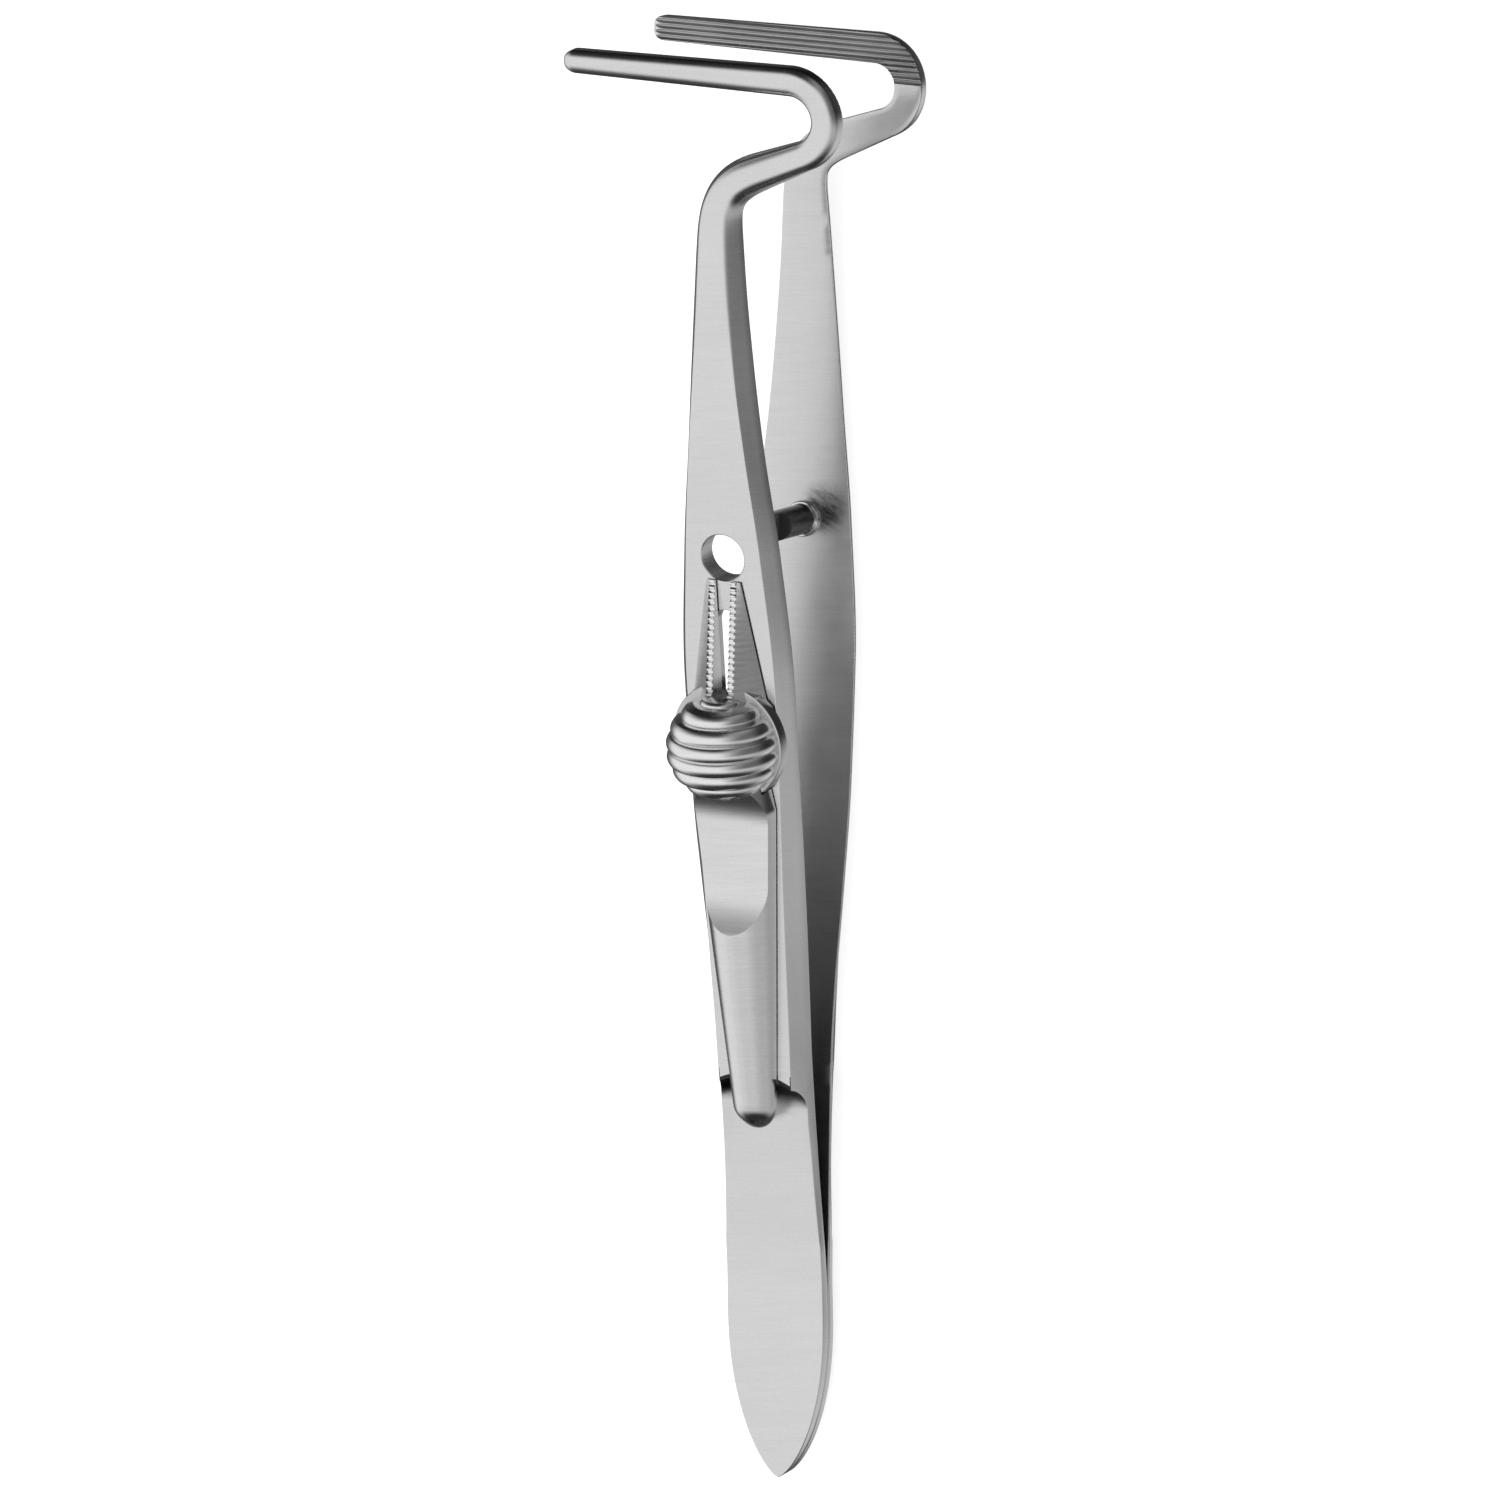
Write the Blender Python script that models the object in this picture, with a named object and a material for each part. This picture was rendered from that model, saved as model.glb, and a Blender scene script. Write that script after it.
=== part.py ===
"""Locking muscle forceps with right-angled jaws, lying open on its rear arm.

Two mirrored spring arms are joined at the pointed tail. A slide with a wedge-shaped fork runs on the
front arm. Squeezed together, the arms bring the catch stud of the rear arm up through the round hole of
the front arm, and the fork is then pushed under the stud's head to hold the jaws shut.

Everything is modelled in the tool's own frame: x across the arms, y along them from the tail to the
jaws, z out of the middle plane between the arms, all in millimetres until a mesh is written. The empty
tool_frame lays that frame down on the table.
"""

import math

import bmesh
import bpy

MM = 0.001

# Lie of the tool on the table: the middle plane is tilted so that the tail and the rear arm's belly touch.
REST_TILT = math.radians(4.909)
REST_HEIGHT = 0.8805
BOX_CENTRE_X = -1.167
BOX_CENTRE_Y = 51.51

# The joint that stands for the flexing leaf of each arm, and the seam between fixed and moving solids.
HINGE_Y = 17.0
SEAM_GAP = 0.3

# Tail blades.
TAIL_WIDTH = 7.88
TAIL_TIP_Y = -1.0
TAIL_POINT_LENGTH = 12.3
TAIL_BLADE_THICKNESS = 0.65
BLADE_GAP = 0.3

# Arm from the hinge to the shank: y, inner face height, outer face height, half-width of the inner face,
# half-width of the outer face. From 29.6 to 76 the outer face is one straight plane for the slide.
FACE_SLOPE = 0.09
FACE_HEIGHT_AT_50 = 5.05


def slide_plane(y):
    return FACE_HEIGHT_AT_50 + FACE_SLOPE * (y - 50.0)


ARM_STATIONS = (
    (HINGE_Y + SEAM_GAP / 2, 0.30, 0.98, 3.90, 3.78),
    (22.0, 0.70, 1.36, 3.84, 3.56),
    (26.0, 1.02, 1.70, 3.80, 3.48),
    (28.0, 1.18, 1.88, 3.78, 3.42),
    (29.6, 1.31, slide_plane(29.6), 3.78, 2.88),
    (30.4, 1.38, slide_plane(30.4), 3.78, 2.90),
    (35.0, 1.80, slide_plane(35.0), 3.90, 3.00),
    (42.7, 2.72, slide_plane(42.7), 4.25, 3.15),
    (50.0, 3.60, slide_plane(50.0), 4.48, 3.35),
    (58.7, 4.38, slide_plane(58.7), 4.52, 3.52),
    (68.5, 5.16, slide_plane(68.5), 3.92, 2.95),
    (76.0, 5.78, slide_plane(76.0), 3.10, 2.20),
    (82.0, 6.08, 7.68, 2.58, 1.60),
    (88.0, 6.20, 7.78, 2.12, 1.15),
    (91.3, 6.15, 7.67, 1.92, 1.00),
    (95.3, 5.90, 7.35, 1.60, 0.90),
    (99.4, 5.71, 7.09, 1.30, 0.80),
    (103.0, 5.95, 7.30, 1.00, 0.70),
    (106.0, 6.15, 7.50, 1.00, 0.70),
)
RING_SPACING = 2.6

# Plan of the jaw end, walked along its centre line from the shank.
SHANK_END_Y = 91.1
SHANK_STRAIGHT = 1.70
NECK_BEND_RADIUS = 3.0
NECK_BEND_ANGLE = 68.0
NECK_LENGTH = 5.32
JAW_BEND_RADIUS = 2.70
JAW_BEND_ANGLE = 158.0
JAW_LENGTH = 17.7
JAW_ROOT_HALF_WIDTH = 1.08
JAW_TIP_HALF_WIDTH = 0.88
JAW_TIP_ROUNDING = 0.85

# Cuts in the arms.
HOLE_Y = 68.3
HOLE_RADIUS = 1.68
SLOT_HALF_WIDTH = 1.2
SLOT_START_Y = 50.7
SLOT_END_Y = 64.5
CHANNEL_HALF_WIDTH = 1.80
CHANNEL_DEPTH = 0.90
CHANNEL_END_Y = 52.9

# Catch stud, measured from the rear arm's inner face.
STUD_Y = 68.5
STUD_TILT = math.radians(5.0)
STUD_RADIUS = 1.08
STUD_LENGTH = 6.65
STUD_BASE = 0.25
STUD_COLLAR_RADIUS = 1.28
STUD_COLLAR_HEIGHT = 0.30
STUD_SPIGOT_RADIUS = 0.65
STUD_SPIGOT_DEPTH = 1.45
STUD_BORE_RADIUS = 0.95
NECK_HALF_WIDTH = 0.45
NECK_NOTCH_LOW = 3.75
NECK_NOTCH_HIGH = 6.05

# Slide. Its frame lies on the slide plane at y = 50, with y along the plane and z out of it.
SLIDE_CLEARANCE = 0.2
DISC_RADIUS = 4.35
DISC_CENTRE = 5.0
DISC_TOP = 1.1
PRONG_TIP = 16.7
PRONG_ROOT = 8.95
PRONG_TIP_HEIGHT = 0.3
PRONG_ROOT_HEIGHT = 1.70
FORK_SLOT_HALF_WIDTH = 0.6
FORK_SLOT_END = 8.6
TOOTH_ROW_EDGE = 1.02
PRONG_TIP_BASE = 1.37
PRONG_ROOT_BASE = 2.76
KNOB_RADIUS = 4.1
KNOB_CENTRE = 4.9
KNOB_HALF_LENGTH = 3.75
KNOB_HEIGHT = 1.5
RIDGE_PITCH = 1.1
RIDGE_DEPTH = 0.28
KNOB_BASE = 1.4
TONGUE_TIP = -24.4
KEEL_HALF_WIDTH = 1.5
KEEL_DEPTH = 0.6
KEEL_START = -22.6
KEEL_END = -3.0

# Guide block and keeper plate behind the front arm, in the slide's frame.
BLOCK_HALF_WIDTH = 0.7
BLOCK_START = 1.1
BLOCK_END = 8.3
BLOCK_TOP = -0.1
BLOCK_BOTTOM = -2.2
TENON_RADIUS = 0.4
TENON_BOTTOM = -3.0
TENON_INSET = 1.6
KEEPER_START = 0.5
KEEPER_END = 8.5
KEEPER_TOP = -2.5
KEEPER_THICKNESS = 0.4
KEEPER_HALF_WIDTH = 2.2
KEEPER_BORE_RADIUS = 0.7


def clear_scene():
    for obj in list(bpy.data.objects):
        bpy.data.objects.remove(obj, do_unlink=True)


def steel(name, colour, roughness):
    material = bpy.data.materials.new(name)
    material.use_nodes = True
    shader = material.node_tree.nodes["Principled BSDF"]
    shader.inputs["Base Color"].default_value = (*colour, 1.0)
    shader.inputs["Metallic"].default_value = 1.0
    shader.inputs["Roughness"].default_value = roughness
    return material


def frame(name, parent=None, location=(0.0, 0.0, 0.0), tilt=0.0):
    """An empty that places the pieces parented to it. The location is in millimetres."""
    empty = bpy.data.objects.new(name, None)
    empty.empty_display_size = 0.004
    empty.parent = parent
    empty.location = [c * MM for c in location]
    empty.rotation_euler = (tilt, 0.0, 0.0)
    bpy.context.scene.collection.objects.link(empty)
    return empty


def mesh_object(name, bm, parent, material=None):
    """Writes a bmesh in millimetres as an object in metres, with its faces pointing out."""
    bmesh.ops.scale(bm, vec=(MM, MM, MM), verts=bm.verts)
    bmesh.ops.recalc_face_normals(bm, faces=bm.faces)
    mesh = bpy.data.meshes.new(name)
    bm.to_mesh(mesh)
    bm.free()
    mesh.shade_smooth()
    mesh.set_sharp_from_angle(angle=math.radians(35))
    obj = bpy.data.objects.new(name, mesh)
    obj.parent = parent
    if material:
        mesh.materials.append(material)
    bpy.context.scene.collection.objects.link(obj)
    return obj


def loft(rings):
    """A closed body through rings of equal point count."""
    bm = bmesh.new()
    rows = [[bm.verts.new(point) for point in ring] for ring in rings]
    count = len(rows[0])
    for low, high in zip(rows, rows[1:]):
        for i in range(count):
            j = (i + 1) % count
            bm.faces.new((low[i], low[j], high[j], high[i]))
    bm.faces.new(rows[0][::-1])
    bm.faces.new(rows[-1])
    return bm


def box(x_range, y_range, z_range):
    rings = []
    for y in y_range:
        x0, x1 = x_range
        z0, z1 = z_range
        rings.append(((x0, y, z0), (x1, y, z0), (x1, y, z1), (x0, y, z1)))
    return loft(rings)


def turned(profile, centre=(0.0, 0.0), segments=28):
    """A body turned about an axis parallel to z, from (radius, z) pairs."""
    rings = []
    for radius, z in profile:
        ring = []
        for i in range(segments):
            angle = 2 * math.pi * i / segments
            ring.append((centre[0] + radius * math.cos(angle), centre[1] + radius * math.sin(angle), z))
        rings.append(ring)
    return loft(rings)


def helper(name, bm, parent):
    """A cutter or an added shape, which isn't a piece of the tool itself."""
    obj = mesh_object(name, bm, parent)
    obj.hide_render = True
    obj.display_type = "WIRE"
    return obj


def combine(obj, other, operation):
    modifier = obj.modifiers.new(other.name, "BOOLEAN")
    modifier.operation = operation
    modifier.solver = "EXACT"
    modifier.object = other


def shared_slope(slope_before, slope_after):
    """Slope at a station that never overshoots: 0 at a turning point, else the harmonic mean."""
    if slope_before * slope_after <= 0:
        return 0.0
    return 2 * slope_before * slope_after / (slope_before + slope_after)


def stations_at(y):
    """The columns of ARM_STATIONS at y, on a smooth curve through the stations."""
    rows = ARM_STATIONS
    y = min(max(y, rows[0][0]), rows[-1][0])
    k = next(i for i in range(len(rows) - 1) if y <= rows[i + 1][0])
    low, high = rows[k], rows[k + 1]
    span = high[0] - low[0]
    t = (y - low[0]) / span
    before = rows[max(k - 1, 0)]
    after = rows[min(k + 2, len(rows) - 1)]
    values = []
    for column in range(1, 5):
        chord = (high[column] - low[column]) / span
        slope_low = chord
        if k > 0:
            slope_low = shared_slope((low[column] - before[column]) / (low[0] - before[0]), chord)
        slope_high = chord
        if k + 2 < len(rows):
            slope_high = shared_slope(chord, (after[column] - high[column]) / (after[0] - high[0]))
        rise = 3 * t**2 - 2 * t**3
        lean_low = t**3 - 2 * t**2 + t
        lean_high = t**3 - t**2
        ends = low[column] * (1 - rise) + high[column] * rise
        values.append(ends + span * (slope_low * lean_low + slope_high * lean_high))
    return values


def jaw_walk():
    """Centre line of the jaw end as (x, y, heading, distance), from the shank to the jaw's tip."""
    x, y, heading, distance = 0.0, SHANK_END_Y, math.radians(90.0), 0.0
    points = [(x, y, heading, distance)]
    legs = (
        (SHANK_STRAIGHT, 0.0, 1),
        (NECK_BEND_RADIUS * math.radians(NECK_BEND_ANGLE), -NECK_BEND_ANGLE, 7),
        (NECK_LENGTH, 0.0, 4),
        (JAW_BEND_RADIUS * math.radians(JAW_BEND_ANGLE), JAW_BEND_ANGLE, 15),
        (JAW_LENGTH - JAW_TIP_ROUNDING, 0.0, 6),
        (JAW_TIP_ROUNDING, 0.0, 4),
    )
    for length, turn, steps in legs:
        for _ in range(steps):
            turn_step = math.radians(turn) / steps
            heading += turn_step / 2
            x += length / steps * math.cos(heading)
            y += length / steps * math.sin(heading)
            heading += turn_step / 2
            distance += length / steps
            points.append((x, y, heading, distance))
    return points


def section(half_inner, half_outer, roundness):
    """Points of an arm's cross-section as (sideways, share of the thickness), inner face first.

    At roundness 0 the sides are plane bevels. At 1 the outside is rounded over like a bar.
    """
    bevel_low = half_inner + (half_outer - half_inner) / 3
    bevel_high = half_inner + (half_outer - half_inner) * 2 / 3
    low = (1 - roundness) * bevel_low + roundness * half_inner
    high = (1 - roundness) * bevel_high + roundness * half_inner * 0.84
    top = (1 - roundness) * half_outer + roundness * half_inner * 0.42
    low_share = 0.33 + 0.12 * roundness
    high_share = 0.67 + 0.15 * roundness
    right = [(half_inner, 0.0), (low, low_share), (high, high_share), (top, 1.0)]
    return right + [(-across, share) for across, share in reversed(right)]


def arm_ring(x, y, heading, half_inner, half_outer, roundness, thickness_share=1.0):
    ring = []
    for across, share in section(half_inner, half_outer, roundness):
        px = x + across * math.sin(heading)
        py = y - across * math.cos(heading)
        inner, outer = stations_at(py)[:2]
        ring.append((px, py - HINGE_Y, inner + (outer - inner) * share * thickness_share))
    return ring


def arm_rings():
    """Cross-sections of the front arm from the hinge to the jaw's tip, about the hinge."""
    stops = sorted({row[0] for row in ARM_STATIONS if row[0] < SHANK_END_Y} | {SHANK_END_Y})
    rings = []
    for low, high in zip(stops, stops[1:]):
        steps = max(1, round((high - low) / RING_SPACING))
        for i in range(steps):
            y = low + (high - low) * i / steps
            half_inner, half_outer = stations_at(y)[2:]
            rings.append(arm_ring(0.0, y, math.radians(90.0), half_inner, half_outer, 0.0))
    walk = jaw_walk()
    bend_start = SHANK_STRAIGHT + NECK_BEND_RADIUS * math.radians(NECK_BEND_ANGLE) + NECK_LENGTH
    jaw_start = bend_start + JAW_BEND_RADIUS * math.radians(JAW_BEND_ANGLE)
    jaw_end = walk[-1][3]
    shank_inner, shank_outer = stations_at(SHANK_END_Y)[2:]
    for x, y, heading, distance in walk:
        along_neck = min(distance / bend_start, 1.0)
        half_inner = shank_inner + (JAW_ROOT_HALF_WIDTH - shank_inner) * along_neck
        half_outer = shank_outer * (1 - along_neck) + 0.6 * along_neck
        along_jaw = min(max((distance - jaw_start) / (jaw_end - jaw_start), 0.0), 1.0)
        half_inner += (JAW_TIP_HALF_WIDTH - JAW_ROOT_HALF_WIDTH) * along_jaw
        left = min((jaw_end - distance) / JAW_TIP_ROUNDING, 1.0)
        tip = math.sqrt(max(1 - (1 - left) ** 2, 0.12))
        rings.append(arm_ring(x, y, heading, half_inner * tip, half_outer, along_neck, 0.45 + 0.55 * tip))
    return rings


def mirrored(rings):
    """The same cross-sections on the other side of the middle plane."""
    return [[(x, y, -z) for x, y, z in ring] for ring in rings]


def tail_half_width(y):
    from_tip = (y - TAIL_TIP_Y) / TAIL_POINT_LENGTH
    if from_tip >= 1.0:
        return TAIL_WIDTH / 2
    return TAIL_WIDTH / 2 * (1 - (1 - from_tip) ** 2.2) ** 0.7


def tail_blade(side):
    """One pointed tail blade. The side is 1 for the front arm and -1 for the rear."""
    near = side * BLADE_GAP / 2
    far = side * (BLADE_GAP / 2 + TAIL_BLADE_THICKNESS)
    rings = []
    steps = 14
    for i in range(steps + 1):
        y = TAIL_TIP_Y + 0.03 + (TAIL_POINT_LENGTH - 0.03) * (i / steps) ** 1.6
        half = tail_half_width(y)
        rings.append(((-half, y, near), (half, y, near), (half, y, far), (-half, y, far)))
    y = HINGE_Y - SEAM_GAP / 2
    half = TAIL_WIDTH / 2 - 0.04
    rings.append(((-half, y, near), (half, y, near), (half, y, far), (-half, y, far)))
    return loft(rings)


def slot_cutter(start, end, half_width, z_range, segments=8):
    """A cutter with rounded ends, along y."""
    outline = []
    for i in range(segments + 1):
        angle = math.pi * i / segments
        outline.append((half_width * math.cos(angle), end - half_width + half_width * math.sin(angle)))
    for i in range(segments + 1):
        angle = math.pi + math.pi * i / segments
        outline.append((half_width * math.cos(angle), start + half_width + half_width * math.sin(angle)))
    return loft([[(x, y, z) for x, y in outline] for z in z_range])


def prong(side):
    """One tapering prong of the fork, with a flat top for the teeth and a sloping outer flank."""
    rings = []
    for y, base, height in (
        (PRONG_ROOT, PRONG_ROOT_BASE, PRONG_ROOT_HEIGHT),
        (PRONG_TIP, PRONG_TIP_BASE, PRONG_TIP_HEIGHT),
    ):
        rings.append(
            (
                (side * FORK_SLOT_HALF_WIDTH, y, SLIDE_CLEARANCE),
                (side * base, y, SLIDE_CLEARANCE),
                (side * TOOTH_ROW_EDGE, y, height),
                (side * FORK_SLOT_HALF_WIDTH, y, height),
            )
        )
    return loft(rings)


def tongue_radius(y):
    """Half-width of the half-round tongue: it tapers from the knob to the ball end."""
    taper = 1.55 + 1.55 * (y - TONGUE_TIP) / (0.0 - TONGUE_TIP)
    taper -= 0.25 * max(y, 0.0)
    from_tip = (y - TONGUE_TIP) / 1.45
    if from_tip < 1.0:
        taper *= math.sqrt(max(1 - (1 - from_tip) ** 2, 0.03))
    return taper


def thumb_rest_height(y):
    """Height of the hollowed thumb rest, high at both ends and lowest in the middle."""
    floor = 1.0
    climb_to_knob = max(y + 1.2, 0.0) ** 2 * 0.35
    past_floor = max(-5.8 - y, 0.0)
    climb_to_crest = 0.62 * past_floor**2 / (past_floor + 1.2)
    return floor + climb_to_knob + climb_to_crest


def knob_radius(y):
    """Radius across the ridged knob: a ball with parallel grooves across the arm."""
    reach = KNOB_RADIUS * math.sqrt(max(1 - ((y - KNOB_CENTRE) / KNOB_HALF_LENGTH) ** 2, 0.02))
    groove = 0.5 - 0.5 * math.cos(2 * math.pi * (y - KNOB_CENTRE) / RIDGE_PITCH + math.pi)
    return reach - RIDGE_DEPTH * groove


def arch(y, radius, centre_z, base_z, cap=None, segments=14):
    """An arch of a circle down to a flat base, cut off level at the height cap."""
    start = math.asin(max(min((base_z - centre_z) / radius, 0.95), -0.95))
    ring = []
    for i in range(segments + 1):
        angle = start + (math.pi - 2 * start) * i / segments
        z = centre_z + radius * math.sin(angle)
        ring.append((radius * math.cos(angle), y, z if cap is None else min(z, cap)))
    return ring


def tongue_body():
    rings = []
    stops = [TONGUE_TIP + 0.02, TONGUE_TIP + 0.2, TONGUE_TIP + 0.6, TONGUE_TIP + 1.45]
    stops += [-19.0, -15.0, -12.0, -10.6, -9.8, -9.0, -8.2, -7.4, -6.5, -4.0, -1.2, -0.6, 0.0, 0.6, 1.3, 2.0, 2.8]
    for y in stops:
        radius = tongue_radius(y)
        lift = 0.0 if y > TONGUE_TIP + 1.0 else -0.25
        cap = thumb_rest_height(y)
        rings.append(arch(y, radius, lift, min(SLIDE_CLEARANCE, 0.8 * radius + lift), cap))
    return loft(rings)


def knob_body():
    rings = []
    start = KNOB_CENTRE - KNOB_HALF_LENGTH
    end = KNOB_CENTRE + KNOB_HALF_LENGTH
    steps = 28
    for i in range(steps + 1):
        y = start + (end - start) * i / steps
        radius = knob_radius(y)
        base = min(KNOB_BASE, KNOB_HEIGHT + 0.8 * radius)
        rings.append(arch(y, radius, KNOB_HEIGHT, base))
    return loft(rings)


def neck_notch(side):
    """Cutter for one flank of the stud's neck: round at the bottom, square under the head."""
    outline = [(3.0, NECK_NOTCH_HIGH), (NECK_HALF_WIDTH, NECK_NOTCH_HIGH)]
    radius = 1.3
    centre_z = NECK_NOTCH_LOW + 1.0
    centre_x = NECK_HALF_WIDTH + radius
    for i in range(7):
        angle = math.pi + math.radians(60.0) * i / 6
        outline.append((centre_x + radius * math.cos(angle), centre_z + radius * math.sin(angle)))
    outline.append((3.0, outline[-1][1] - 0.4))
    return loft([[(side * x, y, z) for x, z in outline] for y in (-2.0, 2.0)])


def build_arms(tool, finish):
    front_hinge = frame("front_hinge", tool, (0.0, HINGE_Y, 0.0))
    rear_hinge = frame("rear_hinge", tool, (0.0, HINGE_Y, 0.0))
    mesh_object("front_tail_blade", tail_blade(1), tool, finish)
    mesh_object("rear_tail_blade", tail_blade(-1), tool, finish)
    rings = arm_rings()
    front = mesh_object("front_arm", loft(rings), front_hinge, finish)
    rear = mesh_object("rear_arm", loft(mirrored(rings)), rear_hinge, finish)
    return front_hinge, rear_hinge, front, rear


def build_slide_cuts(front, slide):
    """Hole, guide slot and tongue channel of the front arm, square to the slide plane."""
    plane_length = 1 / math.cos(math.atan(FACE_SLOPE))
    hole = turned(((HOLE_RADIUS, -4.0), (HOLE_RADIUS, 2.0)), (0.0, (HOLE_Y - 50.0) * plane_length))
    combine(front, helper("cut_catch_hole", hole, slide), "DIFFERENCE")
    slot = slot_cutter(SLOT_START_Y - 50.0, SLOT_END_Y - 50.0, SLOT_HALF_WIDTH, (-4.0, 2.0))
    combine(front, helper("cut_guide_slot", slot, slide), "DIFFERENCE")
    channel = slot_cutter(-26.0, CHANNEL_END_Y - 50.0, CHANNEL_HALF_WIDTH, (-CHANNEL_DEPTH, 2.0))
    combine(front, helper("cut_tongue_channel", channel, slide), "DIFFERENCE")


def build_stud(rear_hinge, rear, finish):
    inner = stations_at(STUD_Y)[0]
    stud = frame("stud_frame", rear_hinge, (0.0, STUD_Y - HINGE_Y, -inner), -STUD_TILT)
    bore = turned(((STUD_BORE_RADIUS, -4.0), (STUD_BORE_RADIUS, 2.0)))
    combine(rear, helper("cut_stud_bore", bore, stud), "DIFFERENCE")
    profile = (
        (STUD_SPIGOT_RADIUS, -STUD_SPIGOT_DEPTH),
        (STUD_SPIGOT_RADIUS, STUD_BASE),
        (STUD_COLLAR_RADIUS, STUD_BASE),
        (STUD_COLLAR_RADIUS, STUD_BASE + STUD_COLLAR_HEIGHT),
        (STUD_RADIUS, STUD_BASE + STUD_COLLAR_HEIGHT),
        (STUD_RADIUS, STUD_LENGTH - 0.2),
        (STUD_RADIUS - 0.2, STUD_LENGTH),
    )
    catch = mesh_object("catch_stud", turned(profile), stud, finish)
    for side, label in ((1, "right"), (-1, "left")):
        combine(catch, helper(f"cut_neck_{label}", neck_notch(side), stud), "DIFFERENCE")


def build_fork(slide, finish):
    """Round base disc and the two prongs, as one plate."""
    disc = turned(((DISC_RADIUS, SLIDE_CLEARANCE), (DISC_RADIUS, DISC_TOP)), (0.0, DISC_CENTRE), 40)
    fork = mesh_object("lock_fork", disc, slide, finish)
    web = box((-2.6, 2.6), (5.0, 9.6), (SLIDE_CLEARANCE, 1.0))
    combine(fork, helper("add_fork_web", web, slide), "UNION")
    for side, label in ((1, "right"), (-1, "left")):
        combine(fork, helper(f"add_prong_{label}", prong(side), slide), "UNION")
    gap = box((-FORK_SLOT_HALF_WIDTH, FORK_SLOT_HALF_WIDTH), (FORK_SLOT_END, PRONG_TIP + 1), (-1.0, 3.0))
    combine(fork, helper("cut_fork_slot", gap, slide), "DIFFERENCE")


def build_thumb_slide(slide, finish):
    """Ridged knob, hollowed thumb rest and tongue, as one piece riveted on the fork's disc."""
    thumb = mesh_object("thumb_slide", tongue_body(), slide, finish)
    combine(thumb, helper("add_knob", knob_body(), slide), "UNION")
    keel = slot_cutter(KEEL_START, KEEL_END, KEEL_HALF_WIDTH, (-KEEL_DEPTH, 0.5))
    combine(thumb, helper("add_keel", keel, slide), "UNION")
    clearance = turned(((DISC_RADIUS + 0.3, -3.0), (DISC_RADIUS + 0.3, KNOB_BASE)), (0.0, DISC_CENTRE), 40)
    combine(thumb, helper("cut_disc_clearance", clearance, slide), "DIFFERENCE")


def build_keeper(slide, finish):
    """Guide block in the slot and the plate behind the arm that keeps the slide on."""
    block = box((-BLOCK_HALF_WIDTH, BLOCK_HALF_WIDTH), (BLOCK_START, BLOCK_END), (BLOCK_BOTTOM, BLOCK_TOP))
    guide = mesh_object("guide_block", block, slide, finish)
    faces = (KEEPER_TOP - KEEPER_THICKNESS, KEEPER_TOP)
    plate = slot_cutter(KEEPER_START, KEEPER_END, KEEPER_HALF_WIDTH, faces)
    keeper = mesh_object("keeper_plate", plate, slide, finish)
    tenons = (BLOCK_START + TENON_INSET, BLOCK_END - TENON_INSET)
    for y, label in zip(tenons, ("lower", "upper")):
        tenon = turned(((TENON_RADIUS, TENON_BOTTOM), (TENON_RADIUS, BLOCK_BOTTOM + 0.4)), (0.0, y), 16)
        combine(guide, helper(f"add_tenon_{label}", tenon, slide), "UNION")
        bore = turned(((KEEPER_BORE_RADIUS, -4.0), (KEEPER_BORE_RADIUS, -2.3)), (0.0, y), 16)
        combine(keeper, helper(f"cut_tenon_bore_{label}", bore, slide), "DIFFERENCE")


def build():
    clear_scene()
    satin = steel("satin_steel", (0.62, 0.62, 0.61), 0.30)
    bright = steel("bright_steel", (0.68, 0.68, 0.67), 0.18)
    tool = frame("tool_frame", None, (-BOX_CENTRE_X, -BOX_CENTRE_Y, REST_HEIGHT), REST_TILT)
    front_hinge, rear_hinge, front, rear = build_arms(tool, satin)
    slide_place = (0.0, 50.0 - HINGE_Y, slide_plane(50.0))
    slide = frame("slide_frame", front_hinge, slide_place, math.atan(FACE_SLOPE))
    build_slide_cuts(front, slide)
    build_stud(rear_hinge, rear, bright)
    build_fork(slide, satin)
    build_thumb_slide(slide, bright)
    build_keeper(slide, satin)


build()
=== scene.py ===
"""Looks of the locking forceps: two satin steel arms, and the polished slide that locks them.

Shapes are made in the tool's own frame, in millimetres: u across the arms, v along them from the tail to the
jaws, w out of the middle plane between them. TOOL lays that frame on the table, in metres.
"""

import math

import bmesh
import bpy
from mathutils import Matrix, Vector


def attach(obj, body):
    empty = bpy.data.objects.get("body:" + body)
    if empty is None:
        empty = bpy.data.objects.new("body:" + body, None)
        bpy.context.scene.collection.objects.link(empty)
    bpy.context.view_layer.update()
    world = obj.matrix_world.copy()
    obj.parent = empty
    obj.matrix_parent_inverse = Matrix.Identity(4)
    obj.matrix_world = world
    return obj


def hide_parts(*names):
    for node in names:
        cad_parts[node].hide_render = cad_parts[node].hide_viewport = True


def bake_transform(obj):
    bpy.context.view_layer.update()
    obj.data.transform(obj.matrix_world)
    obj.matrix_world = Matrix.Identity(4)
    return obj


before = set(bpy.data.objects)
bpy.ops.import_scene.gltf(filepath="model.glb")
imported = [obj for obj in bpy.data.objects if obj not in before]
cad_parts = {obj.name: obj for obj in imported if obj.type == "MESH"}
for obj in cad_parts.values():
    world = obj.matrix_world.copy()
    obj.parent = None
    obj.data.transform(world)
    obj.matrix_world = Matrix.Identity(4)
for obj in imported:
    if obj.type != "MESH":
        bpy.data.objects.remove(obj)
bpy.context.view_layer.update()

# Driving dimensions, as in the CAD model.
REST_TILT = math.radians(4.909)
REST_HEIGHT = 0.8805
BOX_CENTRE_X = -1.167
BOX_CENTRE_Y = 51.51
MM = 0.001
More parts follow.
